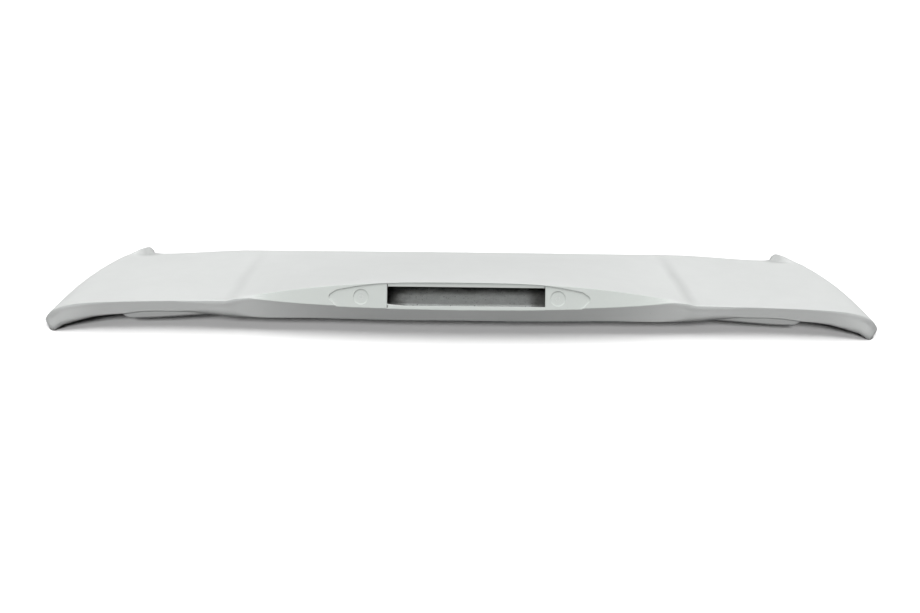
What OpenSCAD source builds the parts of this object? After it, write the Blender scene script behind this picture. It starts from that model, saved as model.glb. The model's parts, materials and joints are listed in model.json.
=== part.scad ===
// Roof spoiler for a hatchback tailgate, two glass fibre mouldings bonded into one hollow body.
// It lies as it comes to rest on a level floor: on its two wing tips and its two front ears.
// X runs across the car, Y towards the front of the car, Z up. Lengths are in millimetres.

/* [Overall size] */
// Width across the two wing tips
overall_w = 1160; // [950:1:1400]
// Level distance from the wing crest to the leading edge
chord = 241; // [190:1:300]
// Thickness of each moulding
skin_t = 3; // [2:0.1:4]
// Room for the adhesive between the two mouldings
bond_gap = 0.4; // [0.2:0.1:0.9]

/* [Wings] */
// Height of the wing crest above the floor where the wing leaves the lamp housing
crest_h = 46.5; // [40:0.5:60]
// Slow droop of the crest towards the tip
crest_droop = 9; // [2:0.5:14]
// Height of the top above the floor at the very tip, after the last steep fall
tip_h = 8; // [7:0.5:14]
// Height of the wings' trailing face, from its lower lip up to the crest
face_h = 16.7; // [14:0.1:20]
// Radius of the rear corner of the wing in plan
tip_r = 22; // [18:1:40]
// How far the bottom of the wing tip is tucked in at the side
tip_tuck = 3; // [0:0.5:5]
// How far the trailing face is drawn out at the bottom of the tip
tip_kick = 5; // [0:0.5:8]
// How much narrower each side gets towards the front
side_taper = 42; // [10:1:48]
// Height of the side walls' lower rim above the floor between tip and ear
side_arch = 7; // [0:0.5:10]

/* [Leading edge and ears] */
// Height of the leading edge above the floor at the middle
lead_h = 20; // [16:0.5:26]
// Drop of the leading edge from the middle to the ears
lead_crown = 2; // [0:0.5:6]
// Further drop of the leading edge just beside the ears
lead_fall = 6.2; // [2:0.2:9]
// Depth of the down-turned lip of the leading edge
lead_lip = 7; // [6:0.5:10]
// Radius of the ear, the front corner of the wing, in plan
ear_r = 38; // [28:1:48]
// How far the ear stands in front of the leading edge
ear_reach = 12; // [6:1:18]
// How much the front of the ear is turned up
ear_rise = 11; // [6:0.5:14]
// Radius of the ear's inner shoulder, beside the leading edge
ear_nose = 14; // [10:1:18]

/* [Lamp housing] */
// Length of the raised lamp housing in the middle of the spoiler
housing_l = 640; // [520:2:780]
// Rise of the housing above the line of the wing crest
housing_h = 33.5; // [26:0.5:40]
// How far the housing stands out behind the wings
housing_out = 20; // [12:0.5:28]
// Height of the lamp panel's lower edge above the floor
sill_h = 48.7; // [44:0.1:54]
// Level distance from the lamp panel's lower edge to its upper edge
panel_lean = 16; // [10:0.5:22]
// Height of the housing's lowest edge above the floor
chin_h = 25; // [20:0.5:30]
// How far the trailing face leans under the lamp panel
chin_under = 10; // [4:0.5:14]

/* [Lamp opening] */
// Width of the slot for the brake lamp
slot_w = 212; // [160:1:260]
// Height of the slot, measured along the panel
slot_h = 25.4; // [18:0.2:28]
// Distance from the panel's upper edge to the slot
slot_margin = 6.5; // [5:0.1:10]
// Corner radius of the slot
slot_r = 1.5; // [0.5:0.1:4]
// How far the slot is off the centre line
slot_shift = 6; // [-10:0.5:10]
// Depth of the shallow recess round the slot
recess_d = 1.5; // [0.8:0.1:2.2]
// How far the recess and its seats are off the centre line
recess_shift = -3; // [-10:0.5:10]
// Extra depth of the recess across the width of the slot
rebate_d = 0.5; // [0.3:0.1:0.8]
// Diameter of the two round screw seats
seat_d = 20; // [12:0.5:24]
// Depth of the seats below the recess
seat_depth = 1; // [0.5:0.1:1.2]
// Distance from each end of the slot to the middle of its seat, both unshifted
seat_offset = 26.5; // [20:0.5:32]
// Distance from the middle of a seat to the end of the recess
recess_end = 44; // [34:0.5:54]

/* [Lower moulding] */
// Distance from the side of the spoiler to the end of the lower moulding
core_inset = 92; // [75:1:115]
// Length over which each end of the lower moulding climbs to the upper one
core_climb = 30; // [20:1:40]
// How far the lamp shelf of the lower moulding lies below the sill of the lamp panel
shelf_drop = 9; // [6:0.5:14]
// Length of the lamp shelf from the rear wall forwards
shelf_d = 66; // [50:2:76]
// Height of the lower moulding's rear edge above the floor at its ends
core_end_h = 14.2; // [10:0.2:18]
// Width of the bonding flange along the front
flange_w = 14; // [10:1:20]

/* [Hidden] */
$fn = 48;
primer = [0.80, 0.82, 0.81];
laminate = [0.62, 0.64, 0.63];

// Places that follow from the sizes above
half_w = overall_w / 2;
housing_x = housing_l / 2;
core_x = half_w - core_inset;
lip_h = crest_h - face_h;
under = skin_t + bond_gap;
ear_y = chord + ear_reach - ear_r;
ear_x = half_w - side_taper * pow(ear_y / chord, 1.5) - ear_r;
tip_x = half_w - tip_r;
seat_pitch = slot_w + 2 * seat_offset;
recess_l = seat_pitch + 2 * recess_end;

// Edges: width of the strip along every edge, and how far the tip and ear edges are rounded over
edge_step = 8;
tip_edge = 4;
ear_edge = 5;
// Where the leading edge begins to drop towards the ear, as a share of the way there
lead_bend = 0.7;
// The notch beside the ear: its radius, and where on the ear's arc it begins
notch_r = 3;
notch_angle = 160;
// Set-back of the lower lip from the crest
lip_set = 0.8;
// The housing: bluntness of its plan, roundness of its top, and where its ends run out
housing_blunt = 2.3;
camber_round = 1.15;
crest_start = 18;
blend_l = 48;
// The lamp panel: where its pointed ends lie, and how its two edges bend there
panel_end = 47;
sill_end = 22;
sill_rise = 2.8;
brow_back = 6;
// Middle line of the top, on which the rings of points close
last_x = tip_x - 12;
spine_y = chord * 0.49;
spine_share = 0.95;

// Small helpers: limits, soft steps and a smooth curve through a few chosen stations
function limit(t) = min(1, max(0, t));
function soft(t) = let (u = limit(t)) u * u * (3 - 2 * u);
function mix(a, b, t) = a + (b - a) * t;
function segment(p, x, i = 0) = (i >= len(p) - 2 || x < p[i + 1][0]) ? i : segment(p, x, i + 1);
function rise(p, i) = (p[i + 1][1] - p[i][1]) / (p[i + 1][0] - p[i][0]);
function slope(p, i) =
    i == 0 ? rise(p, 0)
    : i == len(p) - 1 ? rise(p, i - 1)
    : rise(p, i - 1) * rise(p, i) <= 0 ? 0
    : (rise(p, i - 1) + rise(p, i)) / 2;
function curve(p, x) =
    let (
        i = segment(p, x),
        h = p[i + 1][0] - p[i][0],
        t = limit((x - p[i][0]) / h)
    )
    p[i][1] * (1 + 2 * t) * pow(1 - t, 2) + slope(p, i) * h * t * pow(1 - t, 2)
    + p[i + 1][1] * t * t * (3 - 2 * t) + slope(p, i + 1) * h * t * t * (t - 1);

// Height of the top surface: crest line, leading edge, lamp housing and upturned ears
function wing_share(x) = limit((abs(x) - housing_x - crest_start) / (half_w - housing_x - crest_start));
function crest_z(x) = crest_h - crest_droop * pow(wing_share(x), 2)
    - (crest_h - crest_droop - tip_h) * pow(wing_share(x), 12);
function lead_z(x) =
    let (t = abs(x) / (ear_x - ear_r / 2))
    lead_h - lead_crown * t * t - lead_fall * soft((t - lead_bend) / (1 - lead_bend));
function housing_share(x) = 1 - pow(limit(abs(x) / housing_x), housing_blunt);
function camber(y) = 1 - pow(limit(y / chord), camber_round);
function ear_turn(x, y) =
    ear_rise * soft((y - chord + 5) / (ear_reach + 4))
    * soft((abs(x) - ear_x + ear_nose) / ear_nose) * (1 - 0.4 * soft((abs(x) - ear_x) / 26));
function top_z(x, y) =
    mix(lead_z(x), crest_z(x), 1 - y / chord) + housing_h * housing_share(x) * camber(y) + ear_turn(x, y);

// Outline of the lamp panel and of the lower lip, as functions of the distance from the middle
function housing_weight(x) = soft((housing_x - abs(x)) / blend_l);
function end_share(x) = limit(abs(x) / (housing_x - panel_end));
function sill_y(x) = -housing_out * (1 - pow(limit(abs(x) / (housing_x - sill_end)), 2.2));
function sill_z(x) = sill_h + sill_rise * pow(end_share(x), 6);
function brow_y(x) = panel_lean - housing_out + brow_back * pow(end_share(x), 1.5);
lip_stations = [
    [0, chin_h + 1], [housing_x / 3, chin_h - 0.8], [housing_x * 0.6, chin_h - 0.6],
    [housing_x - 57, chin_h - 2.2], [housing_x - 12, chin_h - 2.5], [housing_x + 18, chin_h],
    [housing_x + 40, lip_h - 1.5], [housing_x + 60, lip_h], [core_x - 60, lip_h],
    [core_x - 36, lip_h - 3], [core_x - 14, lip_h - 6], [core_x - 2, lip_h - 6.6],
    [half_w - 72, lip_h - 10.3], [half_w - 50, lip_h * 0.47], [half_w - 28, lip_h * 0.24],
    [half_w - 19, 0]
];
function lip_z(x) = curve(lip_stations, abs(x));
function lip_y(x) = abs(x) < housing_x
    ? mix(lip_set, chin_under - housing_out, pow(1 - abs(x) / housing_x, 0.8) * housing_weight(x))
    : lip_set - (lip_set + tip_kick) * soft((abs(x) - half_w + 80) / 60);

// A column of the upper moulding runs from the top surface over an edge and down a wall.
// It is seven points: the rounded or crisp edge in four, then the wall down to its rim.
// Without a drop the edge is crisp, and its first points lie evenly on the top surface.
function edge_point(o, n, inset, drop, i) =
    let (
        crisp = 1 - i / 3,
        round = 1 - sin(30 * i),
        p = o - n * inset * mix(crisp, round, limit(drop / 8))
    )
    [p[0], p[1], top_z(p[0], p[1]) - drop * (1 - cos(30 * i))];
function wall_column(o, n, inset, drop, rim_z, hook) =
    let (
        edge = [for (i = [0 : 3]) edge_point(o, n, inset, drop, i)],
        rim = [o[0] - n[0] * hook, o[1] - n[1] * hook, rim_z],
        belly = [n[0], n[1], 0] * hook * 0.35
    )
    concat(edge, [for (t = [1 / 3, 2 / 3]) mix(edge[3], rim, t) + belly * sin(180 * t)], [rim]);

// Rear side: the wings' plain crest, blended into the brow and the sill of the lamp panel
function rear_column(x) =
    let (
        m = housing_weight(x),
        wing = wall_column([x, 0], [0, -1], edge_step, 0, lip_z(x), 0),
        brow = [x, brow_y(x), top_z(x, brow_y(x))],
        sill = [x, sill_y(x), sill_z(x)],
        lip = [x, lip_y(x), lip_z(x)],
        edge = [for (i = [0 : 3]) mix(wing[i], mix(brow, sill, i / 3), m)]
    )
    concat(edge, [for (t = [1 / 3, 2 / 3]) mix(edge[3], lip, t)], [lip]);

// Wing tip: the same wall carried round the rear corner, drawn out behind and tucked in beside
function tip_column(a, side) =
    let (
        n = [side * sin(a), -cos(a)],
        o = [side * tip_x, tip_r] + n * tip_r,
        tuck = mix(-tip_kick, tip_tuck, soft(a / 60))
    )
    wall_column(o, n, edge_step, tip_edge * a / 90, lip_z(o[0] + side * 4 * soft(a / 30)), tuck);

// Side wall from the tip to the ear
function side_x(y) = half_w - side_taper * pow(max(0, y - tip_r) / chord, 1.5);
function side_slope(y) = 1.5 * side_taper / chord * sqrt(max(0, y - tip_r) / chord);
function side_column(t, side) =
    let (
        y = mix(tip_r, side_end, t),
        k = side_slope(y),
        n = [side, k] / norm([1, k])
    )
    wall_column([side * side_x(y), y], n, edge_step, mix(tip_edge, ear_edge, t),
        side_arch * soft(t * 4) * soft((1 - t) * 4), mix(tip_tuck, 1, soft(t * 2)));

// Ear: the front corner, its wall reaching the floor. It runs on from the side wall without a
// kink, and turns about a smaller radius beside the leading edge
ear_lean = atan(side_slope(ear_y));
side_end = ear_y + ear_r * sin(ear_lean);
ear_cx = side_x(side_end) - ear_r * cos(ear_lean);
function ear_point(a) =
    let (r = a > 90 ? ear_nose : ear_r)
    [ear_cx, chord + ear_reach - r] + [cos(a), sin(a)] * r;
function ear_angle(i) =
    i < ear_steps / 2 ? mix(ear_lean, 90, i / (ear_steps / 2 - 0.5))
    : mix(90, notch_angle, (i - ear_steps / 2 + 0.5) / (ear_steps / 2 + 0.5));
function ear_column(a, side) =
    let (p = ear_point(a))
    wall_column([side * p[0], p[1]], [side * cos(a), sin(a)], edge_step,
        ear_edge * soft((notch_angle - a) / 60), ear_rim(a), 1);
function ear_rim(a) = lead_rim_z(ear_cx) * soft((a - 95) / 60);
function lead_rim_z(x) = lead_z(x) - lead_lip;

// Notch between the ear and the leading edge, an inside corner with a small radius
notch_p = ear_point(notch_angle);
notch_c = notch_p + [cos(notch_angle), sin(notch_angle)] * notch_r;
function notch_column(t, side) =
    let (
        a = mix(notch_angle - 180, -90, t),
        n = [-side * cos(a), -sin(a)],
        o = [side * (notch_c[0] + cos(a) * notch_r), max(chord, notch_c[1] + sin(a) * notch_r)]
    )
    wall_column(o, n, edge_step, 0, mix(ear_rim(notch_angle), lead_rim_z(o[0]) - 1, t), 0);

function lead_column(x) =
    wall_column([x, chord], [0, 1], edge_step, 0,
        lead_rim_z(x) - soft((abs(x) - notch_c[0] + 40) / 40), 0);

// Stations across the spoiler: close together where the housing runs out, wider elsewhere
housing_steps = 11;
wing_steps = 10;
half_stations = concat(
    [for (i = [0 : housing_steps]) housing_x * (1 - pow(1 - i / housing_steps, 1.35))],
    [for (i = [1 : wing_steps]) mix(housing_x, last_x, pow(i / wing_steps, 0.9))]
);
stations = concat([for (i = [len(half_stations) - 1 : -1 : 1]) -half_stations[i]], half_stations);
tip_steps = 8;
side_steps = 7;
ear_steps = 9;
notch_steps = 3;
function corner_loop(side) = concat(
    [for (i = [0 : tip_steps]) tip_column(90 * i / tip_steps, side)],
    [for (i = [1 : side_steps]) side_column(i / side_steps, side)],
    [for (i = [1 : ear_steps]) ear_column(ear_angle(i), side)],
    [for (i = [1 : notch_steps]) notch_column(i / notch_steps, side)]
);
function reversed(v) = [for (i = [len(v) - 1 : -1 : 0]) v[i]];
lead_stations = [for (x = stations) x * min(1, (notch_c[0] - 8) / last_x)];

right_loop = corner_loop(1);
left_loop = corner_loop(-1);
n_st = len(stations);
n_co = len(right_loop);
columns = concat(
    [for (x = stations) rear_column(x)],
    right_loop,
    [for (x = reversed(lead_stations)) lead_column(x)],
    reversed(left_loop)
);
spine = concat(
    [for (x = stations) [x * spine_share, spine_y]],
    [for (i = [1 : n_co]) [last_x * spine_share, spine_y]],
    [for (x = reversed(stations)) [x * spine_share, spine_y]],
    [for (i = [1 : n_co]) [-last_x * spine_share, spine_y]]
);

// Rings of points: the seven of each column, then steps inwards over the top to the spine
top_steps = [0.07, 0.2, 0.38, 0.58, 0.8];
n_edge = 7;
n_ring = len(columns);
n_rows = n_edge + len(top_steps);
function top_point(j, t) =
    let (p = mix([columns[j][0][0], columns[j][0][1]], spine[j], t))
    [p[0], p[1], top_z(p[0], p[1])];
outer = [
    for (j = [0 : n_ring - 1])
        concat(reversed(columns[j]), [for (t = top_steps) top_point(j, t)])
];

// Each inner point lies one wall thickness inside its outer point, along the surface normal.
// The rim is trimmed level, so its inner point is level with the outer one.
function wrap(j) = (j + n_ring) % n_ring;
function unit(v) = v / norm(v);
function ring_normal(j, k) =
    let (
        along = outer[wrap(j + 1)][k] - outer[wrap(j - 1)][k],
        p = outer[j],
        up_a = k > 0 ? unit(p[k] - p[k - 1]) : [0, 0, 0],
        up_b = k < n_rows - 1 ? unit(p[k + 1] - p[k]) : [0, 0, 0]
    )
    unit(cross(unit(along), up_a + up_b));
function panel_extra(j, k) =
    (k >= 3 && k < n_edge && outer[j][k][1] < spine_y / 2)
        ? recess_d * soft((recess_l / 2 + 14 - abs(outer[j][k][0])) / 12) : 0;
function rim_normal(j) =
    let (n = ring_normal(j, 0), level = unit([n[0], n[1], 0]))
    level / (n * level);
inner = [
    for (j = [0 : n_ring - 1])
        [for (k = [0 : n_rows - 1]) outer[j][k]
            - (k == 0 ? rim_normal(j) : ring_normal(j, k)) * (skin_t + panel_extra(j, k))]
];

// Points and faces of the upper moulding: outer rings, inner rings, the rim and the two middles
function flat(v) = [for (a = v) for (b = a) b];
inner_base = n_ring * n_rows;
function at(j, k) = wrap(j) * n_rows + k;
function partner(i) = wrap(2 * n_st + n_co - 1 - i);
function quad(a, b, c, d) = [[a, b, c], [a, c, d]];
function ring_faces(base, flip) = flat([
    for (j = [0 : n_ring - 1]) for (k = [0 : n_rows - 2])
        let (
            a = base + at(j, k), b = base + at(j + 1, k),
            c = base + at(j + 1, k + 1), d = base + at(j, k + 1)
        )
        flip ? quad(a, b, c, d) : quad(d, c, b, a)
]);
function middle_faces(base, flip) = flat([
    for (j = [-n_co / 2 : n_st + n_co / 2 - 2])
        let (
            k = n_rows - 1,
            a = base + at(j, k), b = base + at(j + 1, k),
            c = base + at(partner(j + 1), k), d = base + at(partner(j), k)
        )
        flip ? quad(a, b, c, d) : quad(d, c, b, a)
]);
rim_faces = flat([
    for (j = [0 : n_ring - 1])
        quad(at(j, 0), at(j + 1, 0), inner_base + at(j + 1, 0), inner_base + at(j, 0))
]);

module upper_shell() {
    polyhedron(
        points = concat(flat(outer), flat(inner)),
        faces = concat(
            ring_faces(0, false), middle_faces(0, false),
            ring_faces(inner_base, true), middle_faces(inner_base, true),
            rim_faces
        ),
        convexity = 8
    );
}

// Lamp panel: its plane at the middle, and the frame in which the slot and recess are drawn
brow_0 = [brow_y(0), top_z(0, brow_y(0))];
sill_0 = [sill_y(0), sill_z(0)];
panel_h = norm(brow_0 - sill_0);
panel_tilt = atan2(brow_0[1] - sill_0[1], brow_0[0] - sill_0[0]);

// The recess takes off the housing's rearmost edge, so the rearmost point lies a little further in
under_dir = unit([lip_y(0), lip_z(0)] - sill_0);
panel_out = unit([sill_0[1] - brow_0[1], brow_0[0] - sill_0[0]]);
edge_loss = -(recess_d + rebate_d) * under_dir[0] / (under_dir * panel_out);
origin_y = (chord + ear_reach - housing_out + edge_loss) / 2;

module on_panel() {
    translate([0, (brow_0[0] + sill_0[0]) / 2, (brow_0[1] + sill_0[1]) / 2])
        rotate([panel_tilt, 0, 0])
            children();
}

module slot_outline() {
    translate([slot_shift, panel_h / 2 - slot_margin - slot_h / 2])
        offset(r = slot_r) square([slot_w - 2 * slot_r, slot_h - 2 * slot_r], center = true);
}

// Outline of the recess: a low arch with sloping shoulders, open at the panel's lower edge
module recess_outline() {
    half = recess_l / 2;
    translate([recess_shift, panel_h / 2])
        offset(r = 5) offset(delta = -5)
            polygon([
                [-half + 22, -panel_h - 9], [-half, -22], [-half, -19], [-half + 11, -11.6],
                [-half + 40, -6.3], [-half + 68, -2.8], [-half + 98, -1.4], [0, -0.9],
                [half - 98, -1.4], [half - 68, -2.8], [half - 40, -6.3], [half - 11, -11.6],
                [half, -19], [half, -22], [half - 22, -panel_h - 9]
            ]);
}

// A slab that follows the curved panel from a depth below its face to well in front of it
slab_steps = 20;
slab_below = 7;
slab_above = 3;
slab_front = 12;
slab_side = 8;
function panel_normal(x) =
    let (p = brow_y(x) - sill_y(x), q = top_z(x, brow_y(x)) - sill_z(x))
    [0, -q, p] / norm([p, q]);
function slab_section(x, depth) =
    let (
        brow = [x, brow_y(x), top_z(x, brow_y(x))],
        sill = [x, sill_y(x), sill_z(x)],
        n = panel_normal(x),
        up = unit(brow - sill)
    )
    [for (v = [[sill - up * slab_below, -depth], [brow + up * slab_above, -depth],
        [brow + up * slab_above, slab_front], [sill - up * slab_below, slab_front]]) v[0] + n * v[1]];
module panel_slab(depth, half) {
    sections = [for (i = [0 : slab_steps]) slab_section(mix(-half, half, i / slab_steps), depth)];
    last = slab_steps * 4;
    polyhedron(
        points = flat(sections),
        faces = concat(
            flat([
                for (i = [0 : slab_steps - 1]) for (k = [0 : 3])
                    let (a = i * 4 + k, b = i * 4 + (k + 1) % 4)
                    quad(a, a + 4, b + 4, b)
            ]),
            [[0, 1, 2], [0, 2, 3], [last + 2, last + 1, last], [last + 3, last + 2, last]]
        ),
        convexity = 4
    );
}

module recess_cut() {
    intersection() {
        panel_slab(recess_d, recess_l / 2 + slab_side);
        on_panel() translate([0, 0, -15]) linear_extrude(40) recess_outline();
    }
}

module rebate_cut() {
    intersection() {
        panel_slab(recess_d + rebate_d, recess_l / 2 + slab_side);
        on_panel() translate([0, 0, -15]) linear_extrude(40) intersection() {
            recess_outline();
            translate([slot_shift - slot_w / 2 - 0.5, -panel_h]) square([slot_w + 1, 2 * panel_h]);
        }
    }
}

module slot_cut() {
    on_panel() translate([0, 0, -9]) linear_extrude(24) slot_outline();
}

// Round screw seats, each square to the curved panel where it stands
seat_up = 0.44;
function panel_point(x, t) =
    mix([x, sill_y(x), sill_z(x)], [x, brow_y(x), top_z(x, brow_y(x))], t);
function seat_normal(x) = unit(cross(panel_point(x + 5, seat_up) - panel_point(x - 5, seat_up),
    panel_point(x, seat_up + 0.1) - panel_point(x, seat_up)));
module seat_cut(x) {
    n = seat_normal(x);
    translate(panel_point(x, seat_up) - n * (recess_d + seat_depth))
        rotate([0, acos(n[2]), atan2(n[1], n[0])])
            cylinder(d = seat_d, h = 12);
}

// Lower moulding: a shallow tray bonded inside the upper one, its ends climbing to meet it
// Its front edge stays clear of the leading lip, and its ends lie end_gap lower than the middle
climb_steps = 6;
core_half_stations = concat(
    [for (x = half_stations) if (x < core_x - core_climb - 6) x],
    [for (i = [0 : climb_steps]) mix(core_x - core_climb, core_x + flange_w - 2, i / climb_steps)]
);
core_stations = concat([for (i = [len(core_half_stations) - 1 : -1 : 1]) -core_half_stations[i]],
    core_half_stations);
core_front_y = chord - under * 1.25;
end_gap = 0.5;
core_turn = housing_x - 20;
core_set = 0.6;
core_heel = 8;
function fall(x, y) = top_z(x, y - 1) - top_z(x, y);
function core_under_z(x, y) = top_z(x, y) - (2 * skin_t + bond_gap) * norm([1, fall(x, y)]);
function core_rear_z(x) =
    let (t = (abs(x) - core_turn) / (core_x - core_climb - core_turn))
    min(lip_z(x) - core_set, mix(chin_h - 1, core_end_h, soft(t)));
function face_y(x, z) =
    let (c = rear_column(x)[3], t = (c[2] - z) / (c[2] - lip_z(x)))
    mix(c[1], lip_y(x), t) + under * 1.05;
function core_floor(x, y) =
    let (
        rear = core_rear_z(x),
        front = core_under_z(x, chord - flange_w - under),
        t = (y - core_heel) / (chord - flange_w - under - core_heel)
    )
    mix(rear, front, limit(t));

// Lamp shelf: behind the slot the floor of the tray rises to just below the sill, and in front
// of the lamp it falls back
shelf_ramp = 14;
shelf_fall = 24;
shelf_side = 44;
function shelf_share(x, d) =
    soft((slot_w / 2 + slot_margin + shelf_side - abs(x)) / shelf_side)
    * soft(d / shelf_ramp) * soft((shelf_d + shelf_fall - d) / shelf_fall);
function tray_floor(x, y, d) = mix(core_floor(x, y), sill_h - shelf_drop - skin_t, shelf_share(x, d));

// Underside of the tray in section, from the top of its rear flange to the front bonding flange
shelf_steps = [4, 9, shelf_ramp, 40, shelf_d, shelf_d + 8, shelf_d + 16, shelf_d + shelf_fall];
floor_shares = [0.3, 0.6, 0.85];
function tray_section(x) =
    let (
        e = soft((abs(x) - core_x + core_climb) / core_climb),
        rim = rear_column(x)[3][2] - under * 1.4 - recess_d - 3,
        rear = core_rear_z(x),
        y_rim = face_y(x, rim),
        y_lip = face_y(x, lip_z(x)),
        y_end = face_y(x, rear) + 1,
        front_a = chord - flange_w - under,
        front_b = core_front_y,
        walled = [
            [y_rim, rim], [y_lip, lip_z(x)], [y_end, rear + 3.2], [y_end + 3.2, rear],
            for (d = shelf_steps) let (y = y_end + 3.2 + d) [y, tray_floor(x, y, d)],
            for (s = floor_shares)
                let (y = mix(y_end + 3.2 + shelf_d + shelf_fall, front_a, s)) [y, core_floor(x, y)],
            [front_a, core_under_z(x, front_a)], [front_b, core_under_z(x, front_b)]
        ],
        n = len(walled),
        plain = [
            for (i = [0 : n - 1])
                let (y = i < 4 ? 5 + i * 5 : walled[i][0])
                [y, core_under_z(x, y) - end_gap]
        ]
    )
    [for (i = [0 : n - 1]) let (p = mix(walled[i], plain[i], e)) [x, p[0], p[1]]];

tray_outer = [for (x = core_stations) tray_section(x)];
n_tray = len(core_stations);
n_pts = len(tray_outer[0]);
function clamp_i(i, n) = min(n - 1, max(0, i));
function tray_normal(i, k) =
    let (
        along = tray_outer[clamp_i(i + 1, n_tray)][k] - tray_outer[clamp_i(i - 1, n_tray)][k],
        p = tray_outer[i],
        up_a = k > 0 ? unit(p[k] - p[k - 1]) : [0, 0, 0],
        up_b = k < n_pts - 1 ? unit(p[k + 1] - p[k]) : [0, 0, 0]
    )
    unit(cross(unit(along), up_a + up_b));
tray_inner = [
    for (i = [0 : n_tray - 1])
        [for (k = [0 : n_pts - 1]) tray_outer[i][k] + tray_normal(i, k) * skin_t]
];

module tray_shell() {
    base = n_tray * n_pts;
    last = (n_tray - 1) * n_pts;
    sheet = [
        for (i = [0 : n_tray - 2]) for (k = [0 : n_pts - 2])
            let (a = i * n_pts + k)
            [a, a + 1, a + n_pts + 1, a + n_pts]
    ];
    polyhedron(
        points = concat(flat(tray_outer), flat(tray_inner)),
        faces = concat(
            flat([for (q = sheet) quad(q[3], q[2], q[1], q[0])]),
            flat([for (q = sheet) quad(base + q[0], base + q[1], base + q[2], base + q[3])]),
            flat([
                for (i = [0 : n_tray - 2])
                    let (a = i * n_pts, b = a + n_pts, c = a + n_pts - 1, d = b + n_pts - 1)
                    concat(quad(base + a, base + b, b, a), quad(base + d, base + c, c, d))
            ]),
            flat([
                for (k = [0 : n_pts - 2])
                    concat(quad(base + k + 1, base + k, k, k + 1),
                        quad(base + last + k, base + last + k + 1, last + k + 1, last + k))
            ])
        ),
        convexity = 6
    );
}

module upper_skin() {
    color(primer) translate([0, -origin_y, 0]) difference() {
        upper_shell();
        recess_cut();
        rebate_cut();
        slot_cut();
        for (side = [-1, 1]) seat_cut(recess_shift + side * seat_pitch / 2);
    }
}

module lower_skin() {
    color(laminate) translate([0, -origin_y, 0]) tray_shell();
}

upper_skin();
lower_skin();
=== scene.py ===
# %% [markdown]
# A hatchback roof spoiler, as it comes out of the mould: two pale grey glass fibre mouldings
# bonded into one hollow body, with a cut-out for the high brake lamp in its housing. The lesson
# takes the two solids of the frame, works over copies of them as by hand, and gives them a matt
# gelcoat outside and a coarse fibre mat inside. All lengths are metres in the frame's own axes:
# X across the car, Y forwards, Z up. The housing looks at the camera, along minus Y.

import json
from math import cos, pi, radians, sin

import bpy
from mathutils import Matrix, Vector

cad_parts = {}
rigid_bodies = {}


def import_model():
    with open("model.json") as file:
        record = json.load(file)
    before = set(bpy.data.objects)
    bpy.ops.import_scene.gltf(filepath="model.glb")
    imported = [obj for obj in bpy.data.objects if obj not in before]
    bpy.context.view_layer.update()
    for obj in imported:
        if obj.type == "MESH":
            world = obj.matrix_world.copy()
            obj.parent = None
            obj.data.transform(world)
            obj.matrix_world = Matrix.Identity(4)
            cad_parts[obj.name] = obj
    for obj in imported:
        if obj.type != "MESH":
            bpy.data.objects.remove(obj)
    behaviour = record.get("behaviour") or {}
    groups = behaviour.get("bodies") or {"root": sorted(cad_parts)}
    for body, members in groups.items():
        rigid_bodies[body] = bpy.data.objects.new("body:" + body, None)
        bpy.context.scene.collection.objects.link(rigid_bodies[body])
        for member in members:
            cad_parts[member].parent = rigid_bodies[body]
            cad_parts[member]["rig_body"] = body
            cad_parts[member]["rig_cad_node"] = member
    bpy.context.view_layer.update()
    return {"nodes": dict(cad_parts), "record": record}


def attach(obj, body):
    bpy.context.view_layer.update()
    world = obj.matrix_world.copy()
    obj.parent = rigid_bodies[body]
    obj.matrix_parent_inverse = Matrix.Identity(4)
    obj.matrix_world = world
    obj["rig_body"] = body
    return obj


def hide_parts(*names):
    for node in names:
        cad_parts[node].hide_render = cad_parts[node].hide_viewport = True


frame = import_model()
scene = bpy.context.scene
scene.view_settings.view_transform = "Standard"
print("frame nodes:", sorted(frame["nodes"]))

# %% [markdown]
# The camera comes first, because every other choice is judged through it. It stands behind the
# spoiler, about 0.6 m up, and looks 26.5 degrees down. A 35 mm lens on a full frame gives the
# mild perspective of the picture. The body leans a little in the frame, so the camera rolls.

# %% Camera
CAMERA_PLACE = (0.0, -1.2053, 0.58504)
CAMERA_PITCH = radians(26.5)
CAMERA_ROLL = 0.0115
LENS = 35
SENSOR_WIDTH = 36
IMAGE_WIDTH = 920
CENTRE_OFFSET = 1.6

camera_data = bpy.data.cameras.new("camera")
camera_data.lens = LENS
camera_data.sensor_width = SENSOR_WIDTH
camera_data.shift_x = -CENTRE_OFFSET / IMAGE_WIDTH
camera = bpy.data.objects.new("camera", camera_data)
scene.collection.objects.link(camera)
camera.location = CAMERA_PLACE
turn = Matrix.Rotation(pi / 2 - CAMERA_PITCH, 3, "X") @ Matrix.Rotation(CAMERA_ROLL, 3, "Z")
camera.rotation_euler = turn.to_euler()
scene.camera = camera
print("camera at", [round(v, 3) for v in camera.location])

# %% [markdown]
# A material is a small graph of nodes. These helpers add one node, set its plain values and
# join its inputs, so that each graph below reads as a list of what feeds what. A socket that
# is given a plain number keeps it on itself, with no extra node in front. Arithmetic on masks
# comes up all the time, so scaling, adding and multiplying have short names of their own.


# %% Helpers for node graphs
def add_node(tree, kind, inputs=None, **settings):
    node = tree.nodes.new(kind)
    for key, value in settings.items():
        setattr(node, key, value)
    for key, value in (inputs or {}).items():
        socket = node.inputs[key]
        if isinstance(value, bpy.types.NodeSocket):
            tree.links.new(value, socket)
        else:
            socket.default_value = value
    return node


def maths(tree, operation, *values, clamp=False):
    node = add_node(tree, "ShaderNodeMath", dict(enumerate(values)), operation=operation)
    node.use_clamp = clamp
    return node.outputs[0]


def scaled(tree, value, factor):
    return maths(tree, "MULTIPLY", value, factor)


def both(tree, first, second):
    return maths(tree, "MULTIPLY", first, second)


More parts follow.
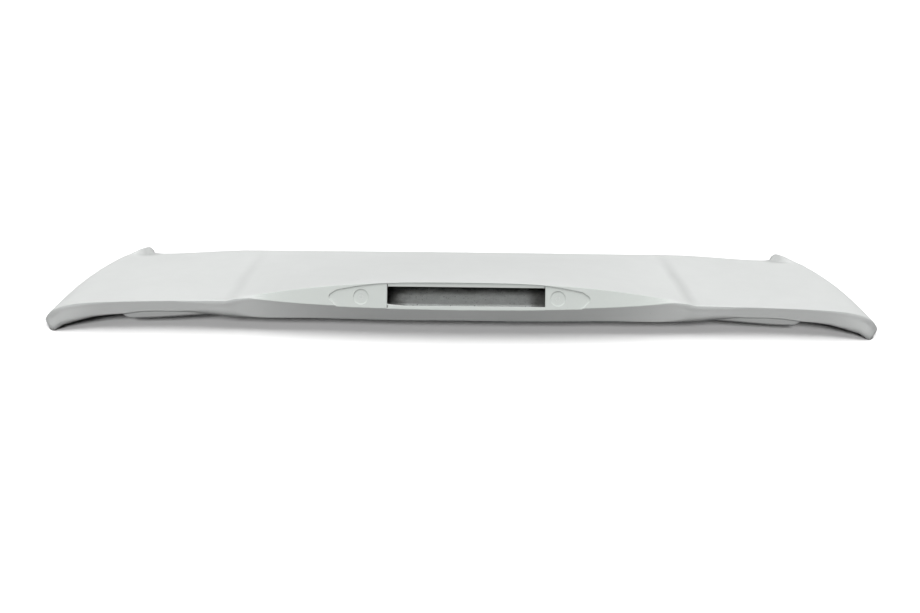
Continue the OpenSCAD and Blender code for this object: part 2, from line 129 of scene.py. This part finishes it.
def either(tree, first, second):
    return maths(tree, "MAXIMUM", first, second)


def layered(tree, *parts):
    total = None
    for value, weight in parts:
        part = scaled(tree, value, weight)
        total = part if total is None else maths(tree, "ADD", total, part)
    return total


def blend_colour(tree, share, first, second):
    node = add_node(tree, "ShaderNodeMix", {0: share, 6: first, 7: second}, data_type="RGBA")
    return node.outputs[2]


def spread(tree, value, low, high, to_low=0.0, to_high=1.0):
    inputs = {"Value": value, "From Min": low, "From Max": high}
    inputs.update({"To Min": to_low, "To Max": to_high})
    return add_node(tree, "ShaderNodeMapRange", inputs).outputs[0]


def new_material(name):
    material = bpy.data.materials.new(name)
    material.use_nodes = True
    material.node_tree.nodes.clear()
    return material, material.node_tree


print("node helpers ready")

# %% [markdown]
# The floor is one large pale sheet. To the camera it is a little brighter than white, so that
# it clips to a clean background, while the places that the body shades still darken. To every
# other ray it is dark, which keeps it from lighting the underside of the body.

# %% Floor
FLOOR_SIZE = 60
FLOOR_SEEN = (1.25, 1.25, 1.25, 1)
FLOOR_BOUNCE = (0.05, 0.05, 0.05, 1)

bpy.ops.mesh.primitive_plane_add(size=FLOOR_SIZE, location=(0, 0, 0))
floor = bpy.context.object
floor.name = "floor"
floor_material, tree = new_material("floor")
path = add_node(tree, "ShaderNodeLightPath").outputs
seen_by_eye = either(tree, path["Is Camera Ray"], path["Is Glossy Ray"])
shade_plain = add_node(tree, "ShaderNodeBsdfDiffuse", {"Color": FLOOR_BOUNCE})
shade_seen = add_node(tree, "ShaderNodeBsdfDiffuse", {"Color": FLOOR_SEEN})
floor_mix = add_node(
    tree,
    "ShaderNodeMixShader",
    {0: seen_by_eye, 1: shade_plain.outputs[0], 2: shade_seen.outputs[0]},
)
add_node(tree, "ShaderNodeOutputMaterial", {"Surface": floor_mix.outputs[0]})
floor.data.materials.append(floor_material)
print("floor", FLOOR_SIZE, "m wide")

# %% [markdown]
# Studio light: one wide soft lamp overhead, a smaller soft box just above the camera, and a
# faint even dome. The lamps are suns with a wide angle, so they are the same all over the floor
# and throw no hard edge. Together they light a level surface at about 1, at which a colour
# renders as it is written. The soft box is low enough to shine through the lamp slot on to the
# tray inside, and it fills the upright faces. The world is the dome for the body, and plain
# white for the camera.

# %% Light
WHITE = (1, 1, 1, 1)
DOME_LEVEL = 0.03
BACKDROP_LEVEL = 1.0
LAMP_DISTANCE = 3
OVERHEAD = {"power": 2.55, "spread": radians(80), "towards": (0.06, 0.14, 1)}
SOFT_BOX = {"power": 1.5, "spread": radians(16), "towards": (-0.13, -1, 0.64)}

world = bpy.data.worlds.new("studio")
world.use_nodes = True
tree = world.node_tree
tree.nodes.clear()
path = add_node(tree, "ShaderNodeLightPath").outputs
dome = add_node(tree, "ShaderNodeBackground", {"Color": WHITE, "Strength": DOME_LEVEL})
seen = add_node(tree, "ShaderNodeBackground", {"Color": WHITE, "Strength": BACKDROP_LEVEL})
world_mix = add_node(
    tree,
    "ShaderNodeMixShader",
    {0: path["Is Camera Ray"], 1: dome.outputs[0], 2: seen.outputs[0]},
)
add_node(tree, "ShaderNodeOutputWorld", {"Surface": world_mix.outputs[0]})
scene.world = world


def soft_lamp(name, lamp):
    data = bpy.data.lights.new(name, "SUN")
    data.energy = lamp["power"]
    data.angle = lamp["spread"]
    light = bpy.data.objects.new(name, data)
    scene.collection.objects.link(light)
    towards = Vector(lamp["towards"])
    light.location = towards * LAMP_DISTANCE
    light.rotation_euler = towards.to_track_quat("Z", "Y").to_euler()
    print(name, "lamp, power", lamp["power"])


soft_lamp("overhead", OVERHEAD)
soft_lamp("soft_box", SOFT_BOX)

# %% [markdown]
# Both mouldings start from the frame's own solids, because they carry the sizes. They could be
# modelled again from a plane, but the lofted skin with its housing would only drift from the
# solid. A frame node is a bag of loose triangles with stored normals, so a copy drops those
# normals and is merged into one skin. Edges are shaded smooth or sharp later, by their angle.

# %% Merged copies of the two mouldings
MERGE_DISTANCE = 2e-6


def deselect():
    if bpy.context.mode != "OBJECT":
        bpy.ops.object.mode_set(mode="OBJECT")
    bpy.ops.object.select_all(action="DESELECT")


def work_on(piece):
    deselect()
    bpy.context.view_layer.objects.active = piece
    piece.select_set(True)


def take_copy(node, name):
    work_on(frame["nodes"][node])
    bpy.ops.object.duplicate()
    piece = bpy.context.object
    piece.name = name
    piece.parent = None
    piece.data.materials.clear()
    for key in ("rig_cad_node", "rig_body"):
        if key in piece:
            del piece[key]
    bpy.ops.mesh.customdata_custom_splitnormals_clear()
    bpy.ops.object.mode_set(mode="EDIT")
    bpy.ops.mesh.select_all(action="SELECT")
    bpy.ops.mesh.remove_doubles(threshold=MERGE_DISTANCE)
    bpy.ops.mesh.select_all(action="DESELECT")
    bpy.ops.mesh.select_mode(type="EDGE")
    bpy.ops.mesh.select_non_manifold()
    bpy.ops.object.mode_set(mode="OBJECT")
    open_edges = sum(edge.select for edge in piece.data.edges)
    print(name, "with", len(piece.data.polygons), "faces and", open_edges, "open edges")
    return piece


upper = take_copy("upper_skin", "upper_moulding")
lower = take_copy("lower_skin", "lower_moulding")

# %% [markdown]
# Beside the lamp slot are two round seats for the lamp's screws, 20 mm across. On the real
# moulding each has a faint ring scribed round its centre, the mark for the drill. The packed
# record states both seats as mounts, with a place and an axis. The seat's floor arrives as a fan
# of triangles, so they are first dissolved into one round face. Insets then draw the ring, and
# the face between two of them is pushed in by a hair.

# %% Scribed rings in the two lamp seats
SEATS = [m for m in frame["record"]["mounts"] if m["name"].startswith("lamp_seat")]
SEAT_RADIUS = 0.010
SEAT_FLATNESS = 0.0002
RING_RADIUS = 0.0032
RING_WIDTH = 0.0007
RING_DEPTH = 0.00035


def within(point, box):
    return all(low <= value <= high for value, low, high in zip(point, *box))


def select_faces(piece, wanted):
    bpy.ops.object.mode_set(mode="OBJECT")
    for item in list(piece.data.vertices) + list(piece.data.edges):
        item.select = False
    found = 0
    for face in piece.data.polygons:
        face.select = wanted(face)
        found += face.select
    bpy.ops.object.mode_set(mode="EDIT")
    bpy.ops.mesh.select_mode(type="FACE")
    return found


work_on(upper)
for seat in SEATS:
    place, axis = Vector(seat["pos_m"]), Vector(seat["axis"]).normalized()

    def on_seat_floor(face):
        offset = face.center - place
        flat = abs(offset.dot(axis)) < SEAT_FLATNESS and face.normal.dot(axis) > 0.99
        return flat and offset.length < SEAT_RADIUS

    found = select_faces(upper, on_seat_floor)
    bpy.ops.mesh.dissolve_faces()
    bpy.ops.mesh.inset(thickness=SEAT_RADIUS - RING_RADIUS, depth=0)
    bpy.ops.mesh.inset(thickness=RING_WIDTH / 2, depth=-RING_DEPTH)
    bpy.ops.mesh.inset(thickness=RING_WIDTH / 2, depth=RING_DEPTH)
    bpy.ops.object.mode_set(mode="OBJECT")
    print(seat["name"], "floor of", found, "triangles, ring scribed")

# %% [markdown]
# The lamp slot was sawn out by hand after moulding, and its lower edge runs uphill to the left.
# The solid has a true slot, so the corner points at that end are moved up the slope of the
# panel. They stay in its plane, so the panel stays flat.

# %% Crooked lower edge of the slot
PANEL_SLOPE = radians(62.2)
CORNER_BOX = ((-0.1003, -0.1335, 0.0490), (-0.0975, -0.1285, 0.0520))
SAW_RISE = 0.0019

work_on(upper)
bpy.ops.object.mode_set(mode="EDIT")
bpy.ops.mesh.select_mode(type="VERT")
bpy.ops.mesh.select_all(action="DESELECT")
bpy.ops.object.mode_set(mode="OBJECT")
for vertex in upper.data.vertices:
    vertex.select = within(vertex.co, CORNER_BOX)
print("corner points moved:", sum(vertex.select for vertex in upper.data.vertices))
bpy.ops.object.mode_set(mode="EDIT")
up_the_slope = Vector((0, cos(PANEL_SLOPE), sin(PANEL_SLOPE)))
bpy.ops.transform.translate(value=up_the_slope * SAW_RISE)
bpy.ops.object.mode_set(mode="OBJECT")

# %% [markdown]
# The blade also ran past three of the corners and left short kerfs, which read as small dark
# ticks. They could be painted on, but a real cut catches the light, so each is a thin block
# taken away by a Boolean. A kerf runs along the panel's own slope, so its block is turned to
# match before it cuts.

# %% Saw kerfs at the corners of the slot
KERF_SIZE = (0.0008, 0.008, 0.0036)
KERFS = [
    {"name": "lower_left", "place": (-0.0996, -0.1328, 0.0490)},
    {"name": "upper_left", "place": (-0.0996, -0.1195, 0.0742)},
    {"name": "upper_right", "place": (0.1116, -0.1194, 0.0731)},
]
BLADE_TURN = (PANEL_SLOPE - pi / 2, 0, 0)

for kerf in KERFS:
    deselect()
    bpy.ops.mesh.primitive_cube_add(size=1, location=kerf["place"], rotation=BLADE_TURN)
    blade = bpy.context.object
    blade.scale = KERF_SIZE
    work_on(upper)
    cut = upper.modifiers.new(kerf["name"], "BOOLEAN")
    cut.operation = "DIFFERENCE"
    cut.solver = "EXACT"
    cut.object = blade
    before = len(upper.data.polygons)
    bpy.ops.object.modifier_apply(modifier=cut.name)
    print(kerf["name"], "kerf,", before, "faces became", len(upper.data.polygons))
    bpy.data.objects.remove(blade)

# %% [markdown]
# Which faces are the mould side and which the lay-up side? The upper moulding is laid up from
# inside, so its lay-up faces look at a line under the floor. The tray is laid up from above, so
# its lay-up faces look at a line high over it. Each line is drawn in a little from the face's
# own X, by its share. Two more rules pick out the lamp panel, which has its own tint, and the
# trimmed edges of the slot and the rim, where the glass shows. A face is an edge of the sheet if
# a ray shot into it travels further than the sheet is thick.

# %% Sort the faces
UNDER_LINE = {"height": -0.12, "share": 0.85}
OVER_LINE = {"height": 0.5, "share": 0.9}
SLOT_BOX = ((-0.1025, -0.140, 0.046), (0.1145, -0.115, 0.0735))
SLOT_WALL_LEAN = 0.5
PANEL_AXIS = Vector((0, -0.879, 0.476)).normalized()
PANEL_LEAN = 0.93
PANEL_HALF_LENGTH = 0.30
PANEL_FOOT = 0.044
RIM_TOP = 0.04
RIM_FACES_DOWN = -0.3
EDGE_DEPTH = 0.0055
RAY_START = 0.0001
FINISHES = ("mould", "panel", "lay-up", "cut")
MOULD, PANEL, LAY_UP, CUT = range(len(FINISHES))


def looks_at_line(face, line):
    centre = face.center
    target = Vector((centre.x * line["share"], 0, line["height"]))
    return face.normal.dot(target - centre) > 0


def is_sheet_edge(piece, face):
    start = face.center - face.normal * RAY_START
    hit, place, *_ = piece.ray_cast(start, -face.normal)
    return hit and (place - start).length > EDGE_DEPTH


def upper_finish(face):
    lean, centre = face.normal.dot(PANEL_AXIS), face.center
    if within(centre, SLOT_BOX) and abs(lean) < SLOT_WALL_LEAN:
        return CUT
    in_rim = face.normal.z < RIM_FACES_DOWN and centre.z < RIM_TOP
    if in_rim and is_sheet_edge(upper, face):
        return CUT
    if looks_at_line(face, UNDER_LINE):
        return LAY_UP
    if lean > PANEL_LEAN and abs(centre.x) < PANEL_HALF_LENGTH and centre.z > PANEL_FOOT:
        return PANEL
    return MOULD


def lower_finish(face):
    return LAY_UP if looks_at_line(face, OVER_LINE) else MOULD


for piece, finish_of in ((upper, upper_finish), (lower, lower_finish)):
    finishes = [finish_of(face) for face in piece.data.polygons]
    piece["finishes"] = finishes
    print(piece.name, {name: finishes.count(kind) for kind, name in enumerate(FINISHES)})

# %% [markdown]
# The gelcoat side copies the polished mould, but never quite: it has a low orange peel, a fine
# grain where it was rubbed down, cloudy patches of tone, a few trapped specks of dust and some
# hairline scuffs from handling. These five effects serve every mould-side finish, so they are
# one group. It puts out a height for the bump and masks for the colour.


# %% Group: moulded finish
def start_group(name, inputs, outputs):
    tree = bpy.data.node_groups.new(name, "ShaderNodeTree")
    for label, kind in inputs:
        tree.interface.new_socket(label, in_out="INPUT", socket_type=kind)
    for label in outputs:
        tree.interface.new_socket(label, in_out="OUTPUT", socket_type="NodeSocketFloat")
    return tree, tree.nodes.new("NodeGroupInput").outputs


def finish_group(tree, results):
    node = tree.nodes.new("NodeGroupOutput")
    for label, socket in results.items():
        tree.links.new(socket, node.inputs[label])
    print("group", tree.name, "with", len(tree.nodes), "nodes")


def noise(tree, vector, scale, detail=3.0, roughness=0.5):
    inputs = {"Vector": vector, "Scale": scale, "Detail": detail, "Roughness": roughness}
    return add_node(tree, "ShaderNodeTexNoise", inputs).outputs["Fac"]


def stretched(tree, vector, turn, size):
    inputs = {"Vector": vector, "Rotation": turn, "Scale": size}
    return add_node(tree, "ShaderNodeMapping", inputs, vector_type="TEXTURE").outputs[0]


def dots(tree, vector, scale, rarity, size):
    cells = add_node(tree, "ShaderNodeTexVoronoi", {"Vector": vector, "Scale": scale})
    split = add_node(tree, "ShaderNodeSeparateColor", {"Color": cells.outputs["Color"]})
    chosen = maths(tree, "GREATER_THAN", split.outputs[0], rarity)
    return both(tree, chosen, maths(tree, "LESS_THAN", cells.outputs["Distance"], size))


SPECKS = {"scale": 105, "rarity": 0.9, "size": 0.05}
SCUFF_SIZE = (0.07, 0.0017, 0.0017)
SCUFFS = [
    {"turn": (0, 0, 0.35), "shows": (0.72, 0.78)},
    {"turn": (0, 0, -0.8), "shows": (0.73, 0.79)},
]
SCUFFED_PATCHES = (0.52, 0.66)
CLOUD_SPREAD = (0.3, 0.7)

moulded_finish, given = start_group(
    "moulded_finish",
    [("Vector", "NodeSocketVector")],
    ["Height", "Cloud", "Specks", "Scuffs"],
)
tree, vector = moulded_finish, given["Vector"]
peel = noise(tree, vector, 150, 1.5)
grain = noise(tree, vector, 1500, 3)
cloud_large = noise(tree, vector, 5.5, 4, 0.6)
cloud_small = noise(tree, vector, 38, 5, 0.65)
cloud = layered(tree, (cloud_large, 0.6), (cloud_small, 0.4))
first_scuffs, second_scuffs = (
    spread(tree, noise(tree, stretched(tree, vector, lay["turn"], SCUFF_SIZE), 1, 2), *lay["shows"])
    for lay in SCUFFS
)
patches = spread(tree, noise(tree, vector, 7, 2), *SCUFFED_PATCHES)
finish_group(
    tree,
    {
        "Height": layered(tree, (peel, 0.6), (grain, 0.4)),
        "Cloud": spread(tree, cloud, *CLOUD_SPREAD),
        "Specks": dots(tree, vector, **SPECKS),
        "Scuffs": both(tree, either(tree, first_scuffs, second_scuffs), patches),
    },
)

# %% [markdown]
# The lay-up side shows chopped strand mat: glass bundles some 50 mm long and 1 mm wide lying in
# every direction under a thin skin of resin. Laying real strands would take thousands of
# curves. Noise that is squeezed hard across one direction gives long streaks instead, and the
# narrow band where it crosses its middle value is a strand. Five directions are laid over each
# other, and a coarse noise adds the lumps and the dry patches. Air bubbles that burst leave
# small pits, which gather in clusters.

# %% Group: fibre mat
STRAND_SIZE = (0.040, 0.0017, 0.0017)
STRAND_TURNS = [
    (0.05, 0.1, 0.2),
    (0.1, -0.05, 0.8),
    (-0.1, 0.05, 1.5),
    (0.05, 0.1, 2.1),
    (0.1, 0.05, 2.75),
]
TONE_SPREAD = (0.25, 0.75)
DRY_PATCHES = (0.52, 0.68)
PITS = {"scale": 330, "size": 0.3}
PIT_CLUSTERS = (0.42, 0.62, 0.97, 0.72)

fibre_mat, given = start_group(
    "fibre_mat",
    [("Vector", "NodeSocketVector"), ("Strand Width", "NodeSocketFloat")],
    ["Height", "Tone", "Dry", "Pits"],
)
tree, vector = fibre_mat, given["Vector"]
strands = None
for turn in STRAND_TURNS:
    streak = noise(tree, stretched(tree, vector, turn, STRAND_SIZE), 1, 1.5)
    off_middle = maths(tree, "ABSOLUTE", maths(tree, "SUBTRACT", streak, 0.5))
    across = maths(tree, "DIVIDE", off_middle, given["Strand Width"])
    strand = maths(tree, "SUBTRACT", 1.0, across, clamp=True)
    strands = strand if strands is None else either(tree, strands, strand)
lumps = noise(tree, vector, 110, 5, 0.62)
pores = noise(tree, vector, 520, 4, 0.7)
crowded = spread(tree, noise(tree, vector, 30, 2), *PIT_CLUSTERS)
finish_group(
    tree,
    {
        "Height": layered(tree, (strands, 0.35), (lumps, 0.9), (pores, 0.3)),
        "Tone": spread(tree, layered(tree, (strands, 0.4), (lumps, 0.6)), *TONE_SPREAD),
        "Dry": spread(tree, noise(tree, vector, 26, 4, 0.6), *DRY_PATCHES),
        "Pits": dots(tree, vector, rarity=crowded, **PITS),
    },
)

# %% [markdown]
# Wear shows first on the edges: rubbing leaves the crest lines, the rim of the recess and the
# ears a touch paler and smoother. A Bevel node gives the normal that a slightly rounded edge
# would have. Where it differs from the true normal there is an edge, which makes the mask, and
# the same normal lets every edge catch the light as a moulded radius does.

# %% Group: edge wear
NORMALS_PART = (0.995, 0.86)

edge_wear, given = start_group(
    "edge_wear",
    [("Rounded", "NodeSocketVector"), ("Surface", "NodeSocketVector")],
    ["Mask"],
)
tree = edge_wear
normals = {0: given["Rounded"], 1: given["Surface"]}
agree = add_node(tree, "ShaderNodeVectorMath", normals, operation="DOT_PRODUCT").outputs["Value"]
finish_group(tree, {"Mask": spread(tree, agree, *NORMALS_PART)})

# %% [markdown]
# The outer finishes share one recipe, a rubbed-down pale grey gelcoat, and differ in tint. The
# wings are a neutral grey; the lamp panel is slightly greener, because it was filled and rubbed
# again. A soft darker line is painted along the top on each side, where the housing fades into
# the wing: painted shade of that shallow crease. A darker patch is painted round the foot of each
# ear, on its inner side: painted shade of the hollow where the ear turns up. A faint smudge lies
# left of the slot. Each such mark has a strength and a shade, the tone that it takes beside clean
# gelcoat. The crest is rounder where the housing runs out into the wing and at the tips, so the
# Bevel node gets a wider radius there.

# %% Material: gelcoat
GREY = (0.745, 0.762, 0.752)
PANEL_GREY = (0.705, 0.745, 0.715)
EDGE_RADIUS = 0.0016
SOFT_RADIUS = 0.011
SOFT_CREST = {"begins": (0.275, 0.31), "ends": (0.39, 0.345)}
SOFT_TIP = (0.47, 0.55)

# Place and shape of the painted crease shade on each side of the housing.
VALLEY_X = 0.3165
VALLEY_WIDTH = (0.013, 0.0005)
VALLEY_SOFTNESS = 0.4
VALLEY_WOBBLE = 0.008
VALLEY_SLANT = -0.012
VALLEY_SIDES = (-0.1, 0.1, 0.5, 1.0)
VALLEY_REAR = (-0.118, -0.09, 0.35, 1.0)
VALLEY_FRONT = (0.115, 0.02, 0.25, 1.0)
SMUDGE_PLACE = (-0.147, -0.091, 0.0775)
SMUDGE_REACH = (0.011, 0.001)
SMUDGE_GRAIN = (0.45, 0.6)
# Place of the painted shade in the hollow at the foot of each ear.
EAR_PLACE = (0.5045, 0.124, 0.018)
EAR_REACH = (0.024, 0.008)
EAR_FRONT = (0.1, 0.115)

# Painted shade: the darker line along the crease where the housing fades into the wing.
CREASE_PAINTED_SHADE = {"strength": 0.27, "shade": 0.45}
SMUDGE = {"strength": 0.45, "shade": 0.5}
# Painted shade of the hollow at the inner foot of each ear.
EAR_PAINTED_SHADE = {"strength": 0.8, "shade": 0.62}
SPECK = {"strength": 0.35, "shade": 0.55}
SCUFF = {"strength": 0.05, "shade": 0.6}
WORN_SHADE = 1.12
WEAR_FADE = (0.49, 0.43, 0.1, 0.8)

CLOUD_TONES = (0.97, 1.03)
CLOUD_ROUGHNESS = (0.56, 0.64)
WORN_SMOOTHER = 0.08
GELCOAT_BUMP = {"Strength": 0.32, "Distance": 0.0006}
GELCOAT_SPECULAR = 0.35


def times(colour, share):
    return tuple(channel * share for channel in colour) + (1,)


def two_tone(tree, share, colour, tones):
    return blend_colour(tree, share, times(colour, tones[0]), times(colour, tones[1]))


def marked(tree, base, mask, mark, colour):
    share = scaled(tree, mask, mark["strength"])
    return blend_colour(tree, share, base, times(colour, mark["shade"]))


def object_place(tree):
    return add_node(tree, "ShaderNodeTexCoord").outputs["Object"]


def axes_of(tree, vector):
    return add_node(tree, "ShaderNodeSeparateXYZ", {0: vector}).outputs


def off_centre(tree, vector):
    return maths(tree, "ABSOLUTE", axes_of(tree, vector)["X"])


def distance_to(tree, vector, place):
    inputs = {0: vector, 1: place}
    return add_node(tree, "ShaderNodeVectorMath", inputs, operation="DISTANCE").outputs["Value"]


def wobbly(tree, vector, scale, detail, amount):
    return scaled(tree, maths(tree, "SUBTRACT", noise(tree, vector, scale, detail), 0.5), amount)


def rounded_normal(tree, vector):
    aside = off_centre(tree, vector)
    crest = both(
        tree,
        spread(tree, aside, *SOFT_CREST["begins"]),
        spread(tree, aside, *SOFT_CREST["ends"]),
    )
    soft = either(tree, crest, spread(tree, aside, *SOFT_TIP))
    radius = spread(tree, soft, 0.0, 1.0, EDGE_RADIUS, SOFT_RADIUS)
    return add_node(tree, "ShaderNodeBevel", {"Radius": radius}, samples=8).outputs[0]


# Mask for painted shade: a soft band along the crease on each side of the housing.
def crease_shade_mask(tree, vector):
    axes = axes_of(tree, vector)
    off_line = maths(tree, "SUBTRACT", maths(tree, "ABSOLUTE", axes["X"]), VALLEY_X)
    off_line = maths(tree, "ADD", off_line, scaled(tree, axes["Y"], VALLEY_SLANT))
    off_line = maths(tree, "ADD", off_line, wobbly(tree, vector, 14, 2, VALLEY_WOBBLE))
    line = spread(tree, maths(tree, "ABSOLUTE", off_line), *VALLEY_WIDTH)
    smooth = maths(tree, "SMOOTH_MIN", line, 1.0, VALLEY_SOFTNESS)
    along = both(
        tree,
        spread(tree, axes["Y"], *VALLEY_REAR),
        spread(tree, axes["Y"], *VALLEY_FRONT),
    )
    return both(tree, both(tree, smooth, spread(tree, axes["X"], *VALLEY_SIDES)), along)


def smudge_mask(tree, vector):
    near = spread(tree, distance_to(tree, vector, SMUDGE_PLACE), *SMUDGE_REACH)
    return both(tree, near, spread(tree, noise(tree, vector, 160, 2), *SMUDGE_GRAIN))


# Mask for painted shade: the inner foot of each ear, mirrored to both sides.
def ear_shade_mask(tree, vector):
    mirrored = add_node(tree, "ShaderNodeVectorMath", {0: vector}, operation="ABSOLUTE").outputs[0]
    near = spread(tree, distance_to(tree, mirrored, EAR_PLACE), *EAR_REACH)
    return both(tree, near, spread(tree, axes_of(tree, vector)["Y"], *EAR_FRONT))


def finish_material(material, base, roughness, bump, specular):
    tree = material.node_tree
    normal = add_node(tree, "ShaderNodeBump", bump).outputs[0]
    look = {"Base Color": base, "Roughness": roughness, "Normal": normal}
    look["Specular IOR Level"] = specular
    shader = add_node(tree, "ShaderNodeBsdfPrincipled", look)
    add_node(tree, "ShaderNodeOutputMaterial", {"Surface": shader.outputs[0]})
    print("material", material.name)
    return material


def gelcoat(name, colour, with_marks):
    material, tree = new_material(name)
    vector = object_place(tree)
    finish = add_node(tree, "ShaderNodeGroup", node_tree=moulded_finish)
    tree.links.new(vector, finish.inputs["Vector"])
    rounded = rounded_normal(tree, vector)
    wear = add_node(tree, "ShaderNodeGroup", node_tree=edge_wear)
    tree.links.new(rounded, wear.inputs["Rounded"])
    surface = add_node(tree, "ShaderNodeNewGeometry").outputs["Normal"]
    tree.links.new(surface, wear.inputs["Surface"])

    base = two_tone(tree, finish.outputs["Cloud"], colour, CLOUD_TONES)
    if with_marks:
        # Painted shade darkens the crease line here; the smudge below is a real mark.
        base = marked(tree, base, crease_shade_mask(tree, vector), CREASE_PAINTED_SHADE, colour)
        base = marked(tree, base, smudge_mask(tree, vector), SMUDGE, colour)
        # Painted shade at the foot of each ear.
        base = marked(tree, base, ear_shade_mask(tree, vector), EAR_PAINTED_SHADE, colour)
    base = marked(tree, base, finish.outputs["Specks"], SPECK, colour)
    base = marked(tree, base, finish.outputs["Scuffs"], SCUFF, colour)
    fade = spread(tree, off_centre(tree, vector), *WEAR_FADE)
    rubbed = both(tree, wear.outputs["Mask"], fade)
    base = blend_colour(tree, rubbed, base, times(colour, WORN_SHADE))

    clean = spread(tree, finish.outputs["Cloud"], 0.0, 1.0, *CLOUD_ROUGHNESS)
    polish = scaled(tree, wear.outputs["Mask"], WORN_SMOOTHER)
    roughness = maths(tree, "SUBTRACT", clean, polish)
    bump = {"Height": finish.outputs["Height"], "Normal": rounded, **GELCOAT_BUMP}
    return finish_material(material, base, roughness, bump, GELCOAT_SPECULAR)


mould_grey = gelcoat("gelcoat_grey", GREY, with_marks=True)
panel_grey = gelcoat("gelcoat_panel", PANEL_GREY, with_marks=False)

# %% [markdown]
# The inside is left dark, the tone of resin over the mat, and that dark also stands as painted
# shade deeper in the hollow. On the tray just behind the lamp slot a pale grey patch is painted
# where light falls in through the slot: painted light. It fades towards the ends of the slot and
# into the hollow, which is why the slot looks black along its top. The same recipe, finer and
# paler, serves the cut edges, where the saw went through the layers.

# %% Material: laminate
# Dark resin inside, which also stands as painted shade in the hollow and at the ends and top of the
# slot.
RESIN_AND_SHADE = (0.27, 0.275, 0.265)
CUT_GLASS = (0.66, 0.68, 0.66)
# Painted light: the pale patch on the tray where light falls in through the slot.
SLOT_PAINTED_LIGHT = (0.87, 0.895, 0.88)
SLOT_LIGHT_MIDDLE = 0.008
SLOT_LIGHT_ACROSS = (0.101, 0.080)
SLOT_LIGHT_DEEP = (-0.052, -0.073)
SLOT_LIGHT_WOBBLE = 0.03
RESIN_TONES = (0.75, 1.2)
SLOT_LIGHT_TONES = (0.84, 1.1)
DRY_MAT = {"strength": 0.2, "shade": 1.7}
PIT = {"strength": 0.6, "shade": 0.4}
RESIN_ROUGHNESS = (0.42, 0.66)
RESIN_SPECULAR = 0.5
MAT_BUMP = 0.9


# Mask of painted light on the tray behind the slot, fading to painted shade at its ends and deeper
# in.
def painted_slot_light_mask(tree, vector):
    axes = axes_of(tree, vector)
    wobble = wobbly(tree, vector, 45, 4, SLOT_LIGHT_WOBBLE)
    aside = maths(tree, "ABSOLUTE", maths(tree, "SUBTRACT", axes["X"], SLOT_LIGHT_MIDDLE))
    across = spread(tree, maths(tree, "ADD", aside, wobble), *SLOT_LIGHT_ACROSS)
    deep = spread(tree, maths(tree, "ADD", axes["Y"], wobble), *SLOT_LIGHT_DEEP)
    return both(tree, across, deep)


def laminate(name, resin, strand_width, bump_distance, painted_light=None):
    material, tree = new_material(name)
    vector = object_place(tree)
    mat = add_node(tree, "ShaderNodeGroup", node_tree=fibre_mat)
    mat.inputs["Strand Width"].default_value = strand_width
    tree.links.new(vector, mat.inputs["Vector"])

    tone = mat.outputs["Tone"]
    base = two_tone(tree, tone, resin, RESIN_TONES)
    base = marked(tree, base, mat.outputs["Dry"], DRY_MAT, resin)
    # Painted light is laid over the resin where light falls through the slot.
    if painted_light:
        lit_tone = two_tone(tree, tone, painted_light, SLOT_LIGHT_TONES)
        base = blend_colour(tree, painted_slot_light_mask(tree, vector), base, lit_tone)
    base = marked(tree, base, mat.outputs["Pits"], PIT, resin)

    roughness = spread(tree, tone, 0.0, 1.0, *RESIN_ROUGHNESS)
    bump = {"Height": mat.outputs["Height"], "Strength": MAT_BUMP, "Distance": bump_distance}
    return finish_material(material, base, roughness, bump, RESIN_SPECULAR)


# The inside laminate carries the painted light behind the slot and the painted shade around it.
mat_inside = laminate(
    "laminate_inside", RESIN_AND_SHADE, strand_width=0.03, bump_distance=0.0012, painted_light=SLOT_PAINTED_LIGHT
)
cut_edge = laminate("laminate_cut", CUT_GLASS, strand_width=0.06, bump_distance=0.0004)

# %% [markdown]
# With all four finishes ready, the faces take them by the numbers sorted out above. Smoothing
# by angle then rounds the lofted surface while each crest, the recess and the slot stay crisp.
# Each moulding stands in for its solid, whose node is hidden, and rides on the root body.

# %% Finish the two mouldings
SMOOTH_ANGLE = radians(24)

for piece, node, slot in ((upper, "upper_skin", "primer"), (lower, "lower_skin", "laminate")):
    piece.data.materials.clear()
    for material in (mould_grey, panel_grey, mat_inside, cut_edge):
        piece.data.materials.append(material)
    for face, kind in zip(piece.data.polygons, piece["finishes"]):
        face.material_index = kind
    del piece["finishes"]
    work_on(piece)
    bpy.ops.object.shade_smooth_by_angle(angle=SMOOTH_ANGLE)
    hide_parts(node)
    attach(piece, "root")
    print(piece.name, "stands for", node)
